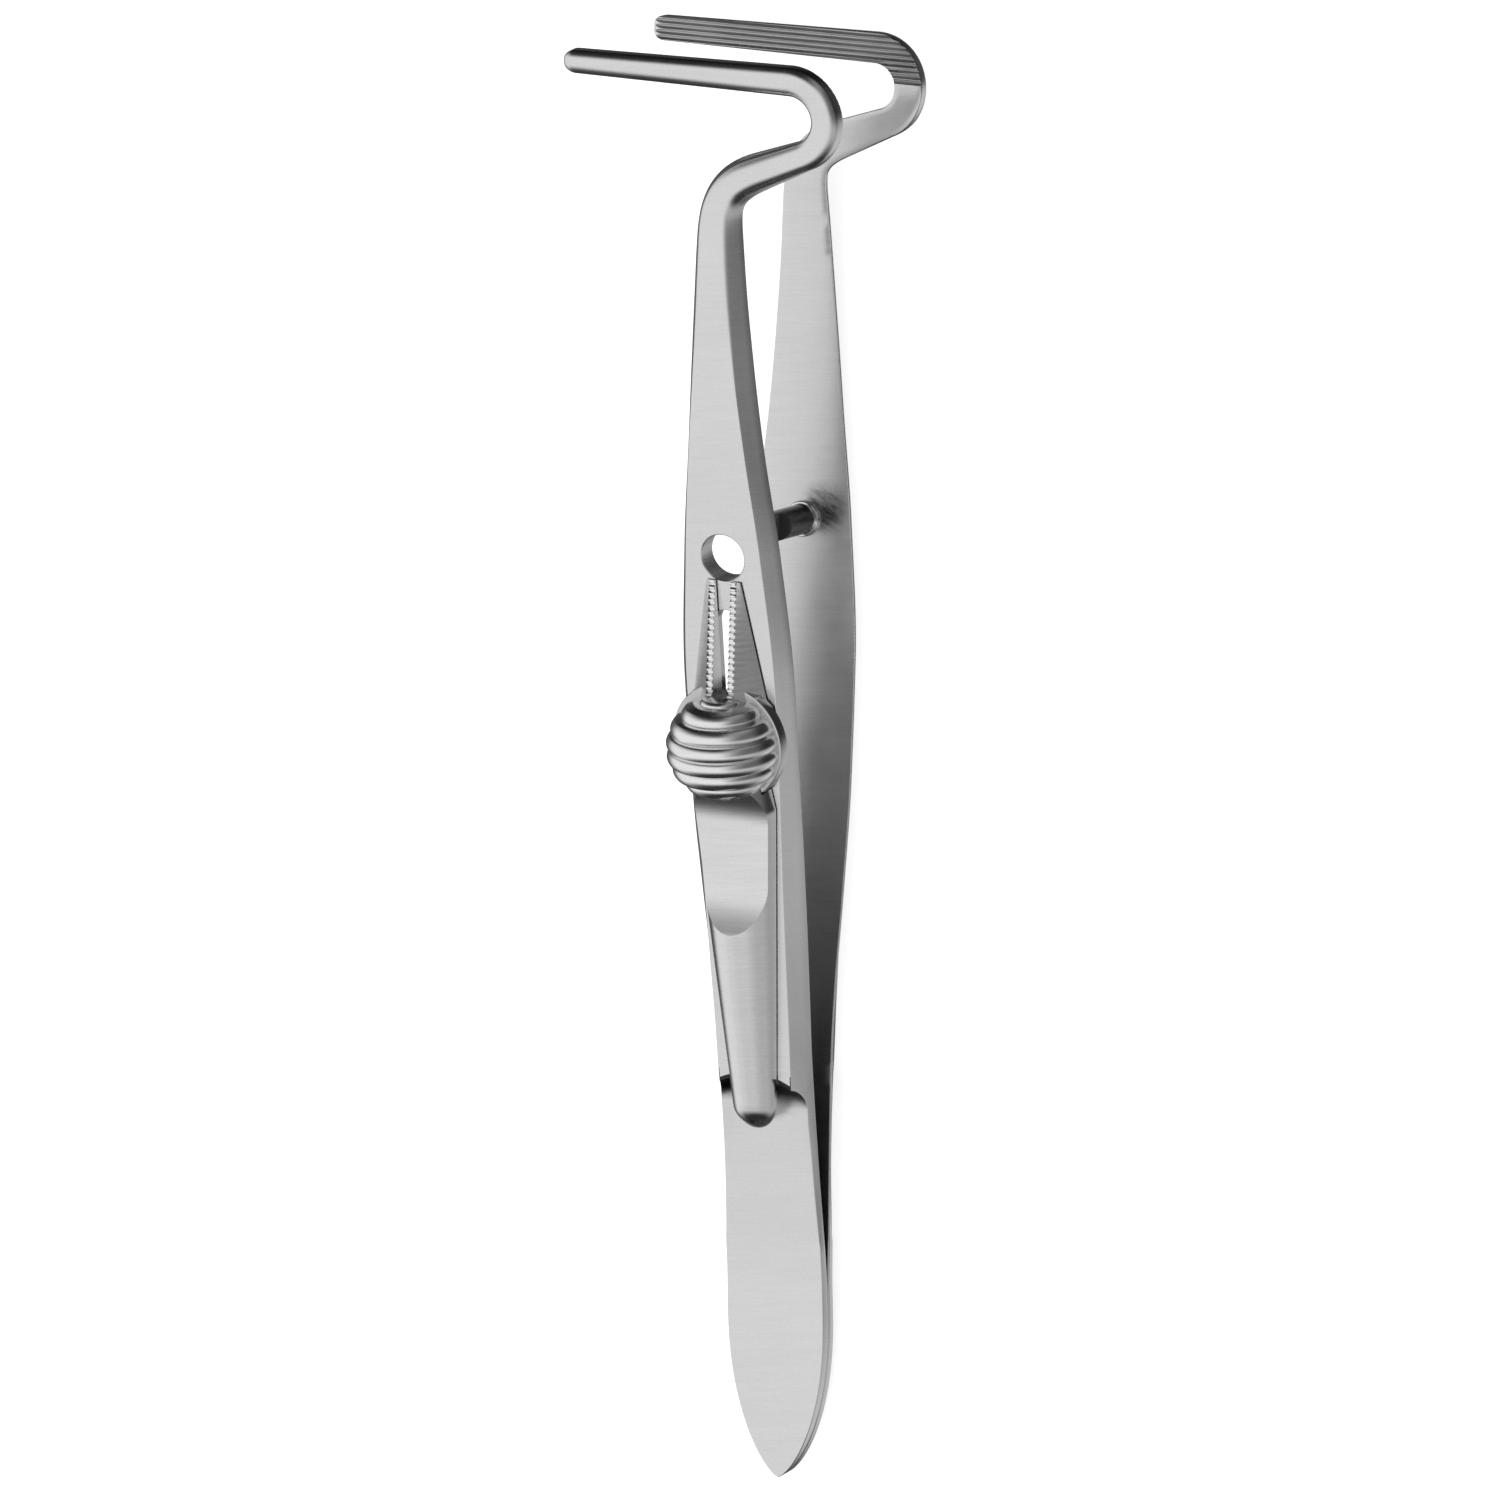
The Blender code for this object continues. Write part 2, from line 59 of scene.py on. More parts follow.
TOOL = (
    Matrix.Scale(MM, 4)
    @ Matrix.Translation((-BOX_CENTRE_X, -BOX_CENTRE_Y, REST_HEIGHT))
    @ Matrix.Rotation(REST_TILT, 4, "X")
)

ARM_START_Y = 17.15
BRAZE_END_Y = 13.0
TAIL_WIDTH = 7.88
TAIL_TIP_Y = -1.0
TAIL_POINT_LENGTH = 12.3
TAIL_POINT_END_Y = TAIL_TIP_Y + TAIL_POINT_LENGTH
LEAF_OUTER = 0.80
FACE_SLOPE = 0.09
SLIDE_ORIGIN_Y = 50.0
SLIDE_ORIGIN_HEIGHT = 5.05


def slide_plane(y):
    """Height of the front arm's flat outer face, on which the slide runs."""
    return SLIDE_ORIGIN_HEIGHT + FACE_SLOPE * (y - SLIDE_ORIGIN_Y)


# y, inner height, outer height, half-width of the inner face, half-width of the outer face.
ARM_STATIONS = (
    (17.15, 0.30, 0.98, 3.90, 3.78),
    (22.0, 0.70, 1.36, 3.84, 3.56),
    (26.0, 1.02, 1.70, 3.80, 3.48),
    (28.0, 1.18, 1.88, 3.78, 3.42),
    (29.6, 1.31, slide_plane(29.6), 3.78, 2.88),
    (30.4, 1.38, slide_plane(30.4), 3.78, 2.90),
    (35.0, 1.80, slide_plane(35.0), 3.90, 3.00),
    (42.7, 2.72, slide_plane(42.7), 4.25, 3.15),
    (50.0, 3.60, slide_plane(50.0), 4.48, 3.35),
    (58.7, 4.38, slide_plane(58.7), 4.52, 3.52),
    (68.5, 5.16, slide_plane(68.5), 3.92, 2.95),
    (76.0, 5.78, slide_plane(76.0), 3.10, 2.20),
    (82.0, 6.08, 7.68, 2.58, 1.60),
    (88.0, 6.20, 7.78, 2.12, 1.15),
    (91.3, 6.15, 7.67, 1.92, 1.00),
    (95.3, 5.90, 7.35, 1.60, 0.90),
    (99.4, 5.71, 7.09, 1.30, 0.80),
    (103.0, 5.95, 7.30, 1.00, 0.70),
    (106.0, 6.15, 7.50, 1.00, 0.70),
)
STEP_Y = 29.6
STEP_HALF_WIDTH = 2.88
STEP_RADIUS = 1.5
STEP_SCOOP = 0.085

SHANK_END_Y = 91.1
SHANK_STRAIGHT = 1.70
NECK_BEND_RADIUS = 3.0
NECK_BEND_ANGLE = 68.0
NECK_BEND_LENGTH = NECK_BEND_RADIUS * math.radians(NECK_BEND_ANGLE)
NECK_LENGTH = 5.32
JAW_BEND_RADIUS = 2.70
JAW_BEND_ANGLE = 158.0
JAW_BEND_LENGTH = JAW_BEND_RADIUS * math.radians(JAW_BEND_ANGLE)
JAW_LENGTH = 17.7
JAW_ROOT_HALF_WIDTH = 1.08
JAW_TIP_HALF_WIDTH = 0.88
JAW_TIP_ROUNDING = 0.85
SERRATION_PITCH = 0.39
SERRATION_DEPTH = 0.12
SERRATION_START = 100.4
SERRATION_COUNT = 10

HOLE_Y = 68.3
HOLE_ALONG = (HOLE_Y - SLIDE_ORIGIN_Y) / math.cos(math.atan(FACE_SLOPE))
HOLE_RADIUS = 1.68
SLOT_HALF_WIDTH = 1.2
SLOT_START_Y = 50.7
SLOT_END_Y = 64.5
CHANNEL_HALF_WIDTH = 1.80
CHANNEL_DEPTH = 0.90
CHANNEL_END_Y = 52.9

STUD_Y = 68.5
STUD_TILT = math.radians(5.0)
STUD_RADIUS = 1.08
STUD_LENGTH = 6.65
NECK_HALF_WIDTH = 0.45
NECK_NOTCH_LOW = 3.75
NECK_NOTCH_HIGH = 6.05

DISC_RADIUS = 4.35
DISC_CENTRE = 5.0
DISC_TOP = 1.1
PRONG_TIP = 16.7
PRONG_ROOT = 8.95
PRONG_FOOT = 8.2
PRONG_TIP_HEIGHT = 0.3
PRONG_ROOT_HEIGHT = 1.70
FORK_SLOT_HALF_WIDTH = 0.6
FORK_SLOT_END = 8.6
TOOTH_ROW_EDGE = 1.02
TOOTH_PITCH = 0.44
PRONG_TIP_BASE = 1.37
PRONG_ROOT_BASE = 2.76
KNOB_RADIUS = 4.1
KNOB_CENTRE = 4.9
KNOB_HALF_LENGTH = 3.75
KNOB_HEIGHT = 1.5
RIDGE_PITCH = 1.1
RIDGE_DEPTH = 0.26
TONGUE_TIP = -24.4
TONGUE_TIP_LENGTH = 1.95
KEEL_HALF_WIDTH = 1.5
KEEL_DEPTH = 0.6
KEEL_START = -22.6
KEEL_END = -3.0
BLOCK_HALF_WIDTH = 0.7
BLOCK_START = 1.1
BLOCK_END = 8.3
BLOCK_BOTTOM = -2.2
TENON_INSET = 1.6
KEEPER_START = 0.5
KEEPER_END = 8.5
KEEPER_TOP = -2.5
KEEPER_THICKNESS = 0.4
KEEPER_HALF_WIDTH = 2.2

SHARP_ANGLE = 32.0

# The slide's own frame: origin on the slide plane at y = 50, y along the plane towards the jaws.
SLIDE = (
    TOOL
    @ Matrix.Translation((0.0, SLIDE_ORIGIN_Y, slide_plane(SLIDE_ORIGIN_Y)))
    @ Matrix.Rotation(math.atan(FACE_SLOPE), 4, "X")
)


def smooth(a, b, value):
    t = min(max((value - a) / (b - a), 0.0), 1.0)
    return t * t * (3 - 2 * t)


# ---------------------------------------------------------------- mesh helpers


def new_object(name, bm, place):
    """A mesh in metres from a bmesh in millimetres, with flat faces shaded flat across their fillets."""
    bmesh.ops.recalc_face_normals(bm, faces=bm.faces)
    bm.transform(place)
    mesh = bpy.data.meshes.new(name)
    bm.to_mesh(mesh)
    bm.free()
    mesh.shade_smooth()
    mesh.set_sharp_from_angle(angle=math.radians(SHARP_ANGLE))
    obj = bpy.data.objects.new(name, mesh)
    bpy.context.scene.collection.objects.link(obj)
    return obj


def loft(rings):
    """A closed body through rings of equally many points."""
    bm = bmesh.new()
    rows = [[bm.verts.new(point) for point in ring] for ring in rings]
    count = len(rows[0])
    for low, high in zip(rows, rows[1:]):
        for i in range(count):
            j = (i + 1) % count
            bm.faces.new((low[i], low[j], high[j], high[i]))
    bm.faces.new(rows[0][::-1])
    bm.faces.new(rows[-1])
    return bm


def turned(profile, centre=(0.0, 0.0), segments=96):
    """A round body through (radius, height) points."""
    rings = []
    for radius, z in profile:
        ring = []
        for i in range(segments):
            angle = 2 * math.pi * i / segments
            ring.append((centre[0] + radius * math.cos(angle), centre[1] + radius * math.sin(angle), z))
        rings.append(ring)
    return loft(rings)


def slot_outline(start, end, half_width, segments=20):
    """Outline of a slot along y with round ends."""
    outline = []
    for i in range(segments + 1):
        angle = math.pi * i / segments
        outline.append((half_width * math.cos(angle), end - half_width + half_width * math.sin(angle)))
    for i in range(segments + 1):
        angle = math.pi + math.pi * i / segments
        outline.append((half_width * math.cos(angle), start + half_width + half_width * math.sin(angle)))
    return outline


def slot_body(start, end, half_width, levels):
    """A body with rounded ends through (height, growth) levels: growth widens the outline all round."""
    rings = []
    for z, grow in levels:
        outline = slot_outline(start - grow, end + grow, half_width + grow)
        rings.append([(x, y, z) for x, y in outline])
    return loft(rings)


def filleted(corners, radii, arc_points, edge_points):
    """A closed convex outline with each corner rounded, and extra points along each edge."""
    count = len(corners)
    arcs = []
    for i in range(count):
        here = Vector(corners[i])
        back = Vector(corners[i - 1]) - here
        ahead = Vector(corners[(i + 1) % count]) - here
        reach = 0.49 * min(back.length, ahead.length)
        back.normalize()
        ahead.normalize()
        half = max(back.angle(ahead) / 2, 0.05)
        length = min(radii[i] / math.tan(half), reach)
        radius = length * math.tan(half)
        centre = here + (back + ahead).normalized() * radius / math.sin(half)
        first = here + back * length - centre
        turn = math.pi - 2 * half
        sign = 1.0 if back.y * ahead.x - back.x * ahead.y > 0 else -1.0
        arc = []
        for k in range(arc_points[i]):
            angle = sign * turn * k / (arc_points[i] - 1)
            cos, sin = math.cos(angle), math.sin(angle)
            arc.append((centre.x + first.x * cos - first.y * sin, centre.y + first.x * sin + first.y * cos))
        arcs.append(arc)
    points = []
    for i in range(count):
        points += arcs[i]
        start, end = arcs[i][-1], arcs[(i + 1) % count][0]
        for k in range(1, edge_points[i] + 1):
            t = k / (edge_points[i] + 1)
            points.append((start[0] * (1 - t) + end[0] * t, start[1] * (1 - t) + end[1] * t))
    return points


def box_between(half_width, ends, low, high):
    """A box across the tool, between two places along it."""
    corners = ((-half_width, low), (half_width, low), (half_width, high), (-half_width, high))
    return loft([[(x, y, z) for x, z in corners] for y in ends])


def wear(obj, *materials):
    obj.data.materials.clear()
    for material in materials:
        obj.data.materials.append(material)


def cut(obj, cutter, operation="DIFFERENCE"):
    """Cuts the cutter from the object, or joins it on, and removes the cutter."""
    modifier = obj.modifiers.new("cut", "BOOLEAN")
    modifier.operation = operation
    modifier.solver = "EXACT"
    modifier.object = cutter
    graph = bpy.context.evaluated_depsgraph_get()
    mesh = bpy.data.meshes.new_from_object(obj.evaluated_get(graph))
    obj.modifiers.clear()
    old = obj.data
    obj.data = mesh
    bpy.data.meshes.remove(old)
    bpy.data.objects.remove(cutter, do_unlink=True)


def settle(obj, sharp=SHARP_ANGLE):
    """Marks sharp edges again after the cuts, and weighs the normals by face area so that flats stay flat."""
    obj.data.shade_smooth()
    obj.data.set_sharp_from_angle(angle=math.radians(sharp))
    modifier = obj.modifiers.new("normals", "WEIGHTED_NORMAL")
    modifier.keep_sharp = True
    graph = bpy.context.evaluated_depsgraph_get()
    mesh = bpy.data.meshes.new_from_object(obj.evaluated_get(graph))
    obj.modifiers.clear()
    obj.data = mesh


# ---------------------------------------------------------------- arm shape


def shared_slope(slope_before, slope_after):
    if slope_before * slope_after <= 0:
        return 0.0
    return 2 * slope_before * slope_after / (slope_before + slope_after)


def stations_at(y):
    """The arm's four measures at y, on smooth curves through the stations that never overshoot."""
    rows = ARM_STATIONS
    y = min(max(y, rows[0][0]), rows[-1][0])
    k = next(i for i in range(len(rows) - 1) if y <= rows[i + 1][0])
    low, high = rows[k], rows[k + 1]
    span = high[0] - low[0]
    t = (y - low[0]) / span
    before = rows[max(k - 1, 0)]
    after = rows[min(k + 2, len(rows) - 1)]
    values = []
    for column in range(1, 5):
        chord = (high[column] - low[column]) / span
        slope_low = chord
        if k > 0:
            slope_low = shared_slope((low[column] - before[column]) / (low[0] - before[0]), chord)
        slope_high = chord
        if k + 2 < len(rows):
            slope_high = shared_slope(chord, (after[column] - high[column]) / (after[0] - high[0]))
        rise = 3 * t**2 - 2 * t**3
        lean_low = t**3 - 2 * t**2 + t
        lean_high = t**3 - t**2
        ends = low[column] * (1 - rise) + high[column] * rise
        values.append(ends + span * (slope_low * lean_low + slope_high * lean_high))
    return values


def tail_half_width(y):
    from_tip = (y - TAIL_TIP_Y) / TAIL_POINT_LENGTH
    if from_tip >= 1.0:
        return TAIL_WIDTH / 2
    return TAIL_WIDTH / 2 * (1 - (1 - max(from_tip, 0.0)) ** 2.2) ** 0.7


def leaf_outer(y):
    """Outer face of the flexing leaf, from the tail up to the step."""
    rows = (
        (TAIL_TIP_Y, LEAF_OUTER),
        (14.0, LEAF_OUTER),
        (ARM_START_Y, 0.98),
        (22.0, 1.36),
        (26.0, 1.70),
        (32.0, 2.24),
    )
    for (y0, z0), (y1, z1) in zip(rows, rows[1:]):
        if y <= y1:
            return z0 + (z1 - z0) * (y - y0) / (y1 - y0)
    return rows[-1][1]


def arm_faces(y):
    """Inner height, inner half-width, outer half-width at the slide plane's level, along the straight arm."""
    if y < ARM_START_Y:
        parting = max((y - BRAZE_END_Y) / (ARM_START_Y - BRAZE_END_Y), 0.0)
        inner = 0.03 + 0.27 * parting**1.6
        narrowing = 0.04 * max((y - TAIL_POINT_END_Y) / (ARM_START_Y - TAIL_POINT_END_Y), 0.0)
        half = tail_half_width(y) - narrowing
        return inner, half, half
    inner, _, half_inner, half_outer = stations_at(y)
    return inner, half_inner, half_outer


ROUND_INNER = 0.12
ARC_POINTS = (4, 9, 9, 4)
EDGE_POINTS = (2, 13, 2, 5)


def straight_ring(y, level=None):
    """Cross-section of the straight arm. A level below the slide plane is a ring of the scooped step."""
    inner, half_inner, half_outer = arm_faces(y)
    if y < STEP_Y:
        outer = leaf_outer(y)
        if y < ARM_START_Y:
            half_outer = half_inner * 0.985
    else:
        outer = stations_at(y)[1]
    if level is not None:
        share = (level - inner) / (stations_at(STEP_Y)[1] - inner)
        half_outer = half_inner + (STEP_HALF_WIDTH - half_inner) * share
        outer = level
    corners = ((half_inner, inner), (half_outer, outer), (-half_outer, outer), (-half_inner, inner))
    round_outer = 0.10 + 0.65 * smooth(78.0, 91.0, y)
    radii = (ROUND_INNER, round_outer, round_outer, ROUND_INNER)
    points = filleted(corners, radii, ARC_POINTS, EDGE_POINTS)
    scoop = smooth(23.0, 27.8, y) * (1 - smooth(30.2, 34.0, y))
    ring = []
    for u, w in points:
        lift = smooth(inner + 0.05, inner + 0.55, w)
        ring.append((u, y - STEP_SCOOP * min(u * u, 13.0) * scoop * lift, w))
    return ring


def jaw_walk():
    """Centre line of the jaw end as (x, y, heading, distance), from the shank to the jaw's tip."""
    x, y, heading, distance = 0.0, SHANK_END_Y, math.radians(90.0), 0.0
    points = [(x, y, heading, distance)]
    legs = (
        (SHANK_STRAIGHT, 0.0, 4, False),
        (NECK_BEND_LENGTH, -NECK_BEND_ANGLE, 22, False),
        (NECK_LENGTH, 0.0, 14, False),
        (JAW_BEND_LENGTH, JAW_BEND_ANGLE, 48, False),
        (JAW_LENGTH - JAW_TIP_ROUNDING, 0.0, 24, False),
        (JAW_TIP_ROUNDING, 0.0, 12, True),
    )
    for length, turn, steps, closing in legs:
        for i in range(steps):
            share = 1.0 / steps
            if closing:
                share = math.sin(math.pi / 2 * (i + 1) / steps) - math.sin(math.pi / 2 * i / steps)
            turn_step = math.radians(turn) * share
            heading += turn_step / 2
            x += length * share * math.cos(heading)
            y += length * share * math.sin(heading)
            heading += turn_step / 2
            distance += length * share
            points.append((x, y, heading, distance))
    return points


def walk_rings():
    """Rings of neck, bend and jaw, square to their centre line."""
    walk = jaw_walk()
    bend_start = SHANK_STRAIGHT + NECK_BEND_LENGTH + NECK_LENGTH
    jaw_start = bend_start + JAW_BEND_LENGTH
    jaw_end = walk[-1][3]
    shank_inner, shank_outer = stations_at(SHANK_END_Y)[2:]
    rings = []
    for x, y, heading, distance in walk:
        along_neck = min(distance / bend_start, 1.0)
        half_inner = shank_inner + (JAW_ROOT_HALF_WIDTH - shank_inner) * along_neck
        half_outer = shank_outer + (1.0 - shank_outer) * along_neck
        along_jaw = min(max((distance - jaw_start) / (jaw_end - jaw_start), 0.0), 1.0)
        narrowing = (JAW_TIP_HALF_WIDTH - JAW_ROOT_HALF_WIDTH) * along_jaw
        half_inner += narrowing
        half_outer += narrowing
        left = min((jaw_end - distance) / JAW_TIP_ROUNDING, 1.0)
        tip = math.sqrt(max(1 - (1 - left) ** 2, 0.0009))
        round_outer = 0.75 + 0.20 * smooth(0.0, 0.5, along_neck)
        half_inner *= 0.25 + 0.75 * tip
        half_outer *= 0.25 + 0.75 * tip
        thickness = 0.62 + 0.38 * tip
        nominal = 1.38
        corners = ((half_inner, 0.0), (half_outer, nominal), (-half_outer, nominal), (-half_inner, 0.0))
        radii = (ROUND_INNER, round_outer, round_outer, ROUND_INNER)
        ring = []
        for across, height in filleted(corners, radii, ARC_POINTS, EDGE_POINTS):
            px = x + across * math.sin(heading)
            py = y - across * math.cos(heading)
            inner, outer = stations_at(py)[:2]
            share = height / nominal
            crown = 0.5 * (1 - thickness) * (1 - share)
            ring.append((px, py, inner + (outer - inner) * (share * thickness + crown)))
        rings.append(ring)
    return rings


def arm_rings():
    """Every ring of the arm, from the tail's tip to the jaw's."""
    rings = []
    steps = 34
    for i in range(steps):
        y = TAIL_TIP_Y + 0.015 + TAIL_POINT_LENGTH * (i / steps) ** 1.8
        rings.append(straight_ring(y))
    y = TAIL_POINT_END_Y
    while y < 27.2:
        rings.append(straight_ring(y))
        y += 0.6
    base_y = STEP_Y - STEP_RADIUS
    base = leaf_outer(base_y)
    top = slide_plane(STEP_Y)
    for i in range(11):
        angle = math.pi / 2 * i / 10
        level = base + (top - base) * (1 - math.cos(angle))
        rings.append(straight_ring(base_y + STEP_RADIUS * math.sin(angle) - 0.001, level))
    rings.append(straight_ring(STEP_Y + 0.04))
    y = STEP_Y + 0.3
    while y < SHANK_END_Y - 0.3:
        rings.append(straight_ring(y))
        y += 0.7
    return eased_neck(rings + walk_rings())


def eased_neck(rings):
    """Draws the bend between shank and neck into a softer curve on both sides."""
    centres = [sum((Vector(p) for p in ring), Vector()) / len(ring) for ring in rings]
    along = [0.0]
    for a, b in zip(centres, centres[1:]):
        along.append(along[-1] + (b - a).length)
    first = next(i for i, c in enumerate(centres) if c.y > 84.0)
    bend = next(i for i, c in enumerate(centres) if c.y > SHANK_END_Y + 2.6)
    eased = list(rings)
    for i in range(first, len(rings)):
        reach = along[i] - along[bend]
        share = smooth(-7.5, -4.0, reach) * (1 - smooth(2.2, 5.0, reach))
        if share <= 0:
            continue
        near = [k for k in range(len(rings)) if abs(along[k] - along[i]) < 3.6]
        span = [(along[min(k + 1, len(rings) - 1)] - along[k - 1]) / 2 for k in near]
        weights = [math.exp(-(((along[k] - along[i]) / 1.5) ** 2)) * s for k, s in zip(near, span)]
        total = sum(weights)
        ring = []
        for j in range(len(rings[i])):
            mean = sum((Vector(rings[k][j]) * (w / total) for k, w in zip(near, weights)), Vector())
            ring.append(tuple(Vector(rings[i][j]).lerp(mean, share)))
        eased[i] = ring
    return eased


def mirrored(rings):
    """The rear arm's rings from the front arm's."""
    return [[(x, y, -z) for x, y, z in ring] for ring in rings]


def serration_comb(side):
    """Cutter for the V-grooves of a jaw's inner face: straight grooves along the jaw, side by side."""
    outline = []
    for i in range(SERRATION_COUNT):
        y = SERRATION_START + i * SERRATION_PITCH
        outline.append((y, stations_at(y)[0] - 0.01))
        mid = y + SERRATION_PITCH / 2
        outline.append((mid, stations_at(mid)[0] + SERRATION_DEPTH))
    y = SERRATION_START + SERRATION_COUNT * SERRATION_PITCH
    outline.append((y, stations_at(y)[0] - 0.01))
    outline.append((y, stations_at(y)[0] - 0.8))
    outline.append((SERRATION_START, stations_at(SERRATION_START)[0] - 0.8))
    comb = loft([[(x, y, side * z) for y, z in outline] for x in (-14.0, 12.0)])
    return new_object("serration_comb", comb, TOOL)


def paint_inner_faces(arm, side, material):
    """The flat faces between the arms, which the belt never reached, take the rougher inside steel, whose
    colour also carries painted shade: it darkens towards the tail, where the arms shade each other.
    """
    arm.data.materials.append(material)
    inward = (TOOL.to_3x3() @ Vector((0.0, 0.0, -side))).normalized()
    for face in arm.data.polygons:
        if face.normal.dot(inward) > 0.8:
            face.material_index = 1


def paint_step(arm, side, material):
    """The scooped wall at the end of the thick arm takes the step wall material, whose colour is painted
    shade: it darkens to near black towards the thick arm, standing in for the shadow in the step.
    """
    arm.data.materials.append(material)
    lie = TOOL.inverted()
    turn = lie.to_3x3()
    for face in arm.data.polygons:
        _, along, out = lie @ face.center
        normal = (turn @ face.normal).normalized()
        on_wall = 26.6 < along < STEP_Y + 0.02 and side * out > leaf_outer(along) - 0.15
        # Faces of the step wall, which take the painted shade material.
        if on_wall and abs(normal.x) < 0.62 and side * normal.z > 0.0:
            face.material_index = 2


def paint_bore(arm, material):
    """The reamed wall of the catch hole: a rougher finish, and a colour lighter than the arm's steel as
    painted light.
    """
    arm.data.materials.append(material)
    lie = SLIDE.inverted()
    for face in arm.data.polygons:
        across, along, depth = lie @ face.center
        if math.hypot(across, along - HOLE_ALONG) < HOLE_RADIUS + 0.01 and depth < -0.05:
            face.material_index = 3


def cut_front_openings(arm):
    """Catch hole, guide slot and channel, each with a small chamfer at the slide plane."""
    hole = turned(((HOLE_RADIUS, -4.0), (HOLE_RADIUS, -0.07), (HOLE_RADIUS + 0.16, 0.09)), (0.0, HOLE_ALONG))
    cut(arm, new_object("hole", hole, SLIDE))
    chamfer = ((-0.05, 0), (0.1, 0.15))
    slot_ends = (SLOT_START_Y - SLIDE_ORIGIN_Y, SLOT_END_Y - SLIDE_ORIGIN_Y)
    slot = slot_body(*slot_ends, SLOT_HALF_WIDTH, ((-4.0, 0), *chamfer))
    cut(arm, new_object("slot", slot, SLIDE))
    channel_ends = (-26.0, CHANNEL_END_Y - SLIDE_ORIGIN_Y)
    channel = slot_body(*channel_ends, CHANNEL_HALF_WIDTH, ((-CHANNEL_DEPTH, 0), *chamfer))
    cut(arm, new_object("channel", channel, SLIDE))


def build_arm(name, side, material, inner_material, step_material, bore_material=None):
    """One arm from tail tip to jaw tip. The side is 1 for the front arm and -1 for the rear one."""
    rings = arm_rings()
    arm = new_object(name, loft(rings if side > 0 else mirrored(rings)), TOOL)
    cut(arm, serration_comb(side))
    if side > 0:
        cut_front_openings(arm)
    settle(arm)
    wear(arm, material)
    paint_inner_faces(arm, side, inner_material)
    paint_step(arm, side, step_material)
    if bore_material:
        paint_bore(arm, bore_material)
    return arm


# ---------------------------------------------------------------- slide shape


def tongue_radius(y):
    """Radius of the half-round tongue: it swells towards the knob and closes in a round tip."""
    taper = 1.55 + 1.55 * (y - TONGUE_TIP) / (0.0 - TONGUE_TIP)
    taper -= 0.25 * max(y, 0.0)
    from_tip = (y - TONGUE_TIP) / TONGUE_TIP_LENGTH
    if from_tip < 1.0:
        taper *= math.sqrt(max(1 - (1 - from_tip) ** 2, 0.004))
    return taper


def thumb_rest_height(y):
    """Level of the hollowed thumb rest, climbing under the knob and to its crest at the tail's side."""
    climb_to_knob = max(y + 1.1, 0.0) ** 2 * 0.12
    past_floor = max(-5.8 - y, 0.0)
    climb_to_crest = 0.80 * past_floor**2 / (past_floor + 2.0)
    return 1.0 + climb_to_knob + climb_to_crest


def tongue_ring(y):
    """Half-round outline of the tongue, cut level where the thumb rest hollows it."""
    radius = tongue_radius(y)
    cap = thumb_rest_height(y)
    base = min(0.1, 0.6 * radius)
    lift = -0.25 * (1 - smooth(TONGUE_TIP + 0.2, TONGUE_TIP + 1.8, y))
    top = min(cap, radius + lift)
    ring = []
    start = math.asin(max(min((base - lift) / radius, 0.9), -0.9))
    cap_angle = min(math.asin(max(min((top - lift) / radius, 1.0), -1.0)), math.radians(86.0))
    top = lift + radius * math.sin(cap_angle)
    side, flat = 14, 12
    for i in range(side + 1):
        angle = start + (cap_angle - start) * i / side
        ring.append((radius * math.cos(angle), y, lift + radius * math.sin(angle)))
    edge = ring[-1][0]
    for i in range(1, flat):
        ring.append((edge * (1 - 2 * i / flat), y, top))
    for i in range(side, -1, -1):
        angle = start + (cap_angle - start) * i / side
        ring.append((-radius * math.cos(angle), y, lift + radius * math.sin(angle)))
    return ring


def build_tongue(material):
    """Tongue and thumb rest, with the keel below them and the recess that takes the fork's disc."""
    stops = [TONGUE_TIP + TONGUE_TIP_LENGTH * (1 - math.cos(math.pi / 2 * i / 14)) for i in range(15)]
    stops[0] = TONGUE_TIP + 0.004
    y = stops[-1] + 0.35
    while y < 2.9:
        stops.append(y)
        y += 0.35 if y < -11.0 else 0.14
    tongue = new_object("thumb_rest_and_tongue", loft([tongue_ring(y) for y in stops]), SLIDE)
    levels = ((-KEEL_DEPTH, 0), (-KEEL_DEPTH + 0.08, 0.08), (0.4, 0.08))
    keel = slot_body(KEEL_START, KEEL_END, KEEL_HALF_WIDTH, levels)
    cut(tongue, new_object("keel", keel, SLIDE), "UNION")
    around = DISC_RADIUS + 0.08
    recess = turned(((around, -3.0), (around, DISC_TOP + 0.05)), (0.0, DISC_CENTRE))
    cut(tongue, new_object("recess", recess, SLIDE))
    settle(tongue, 24.0)
    wear(tongue, material)
    return tongue


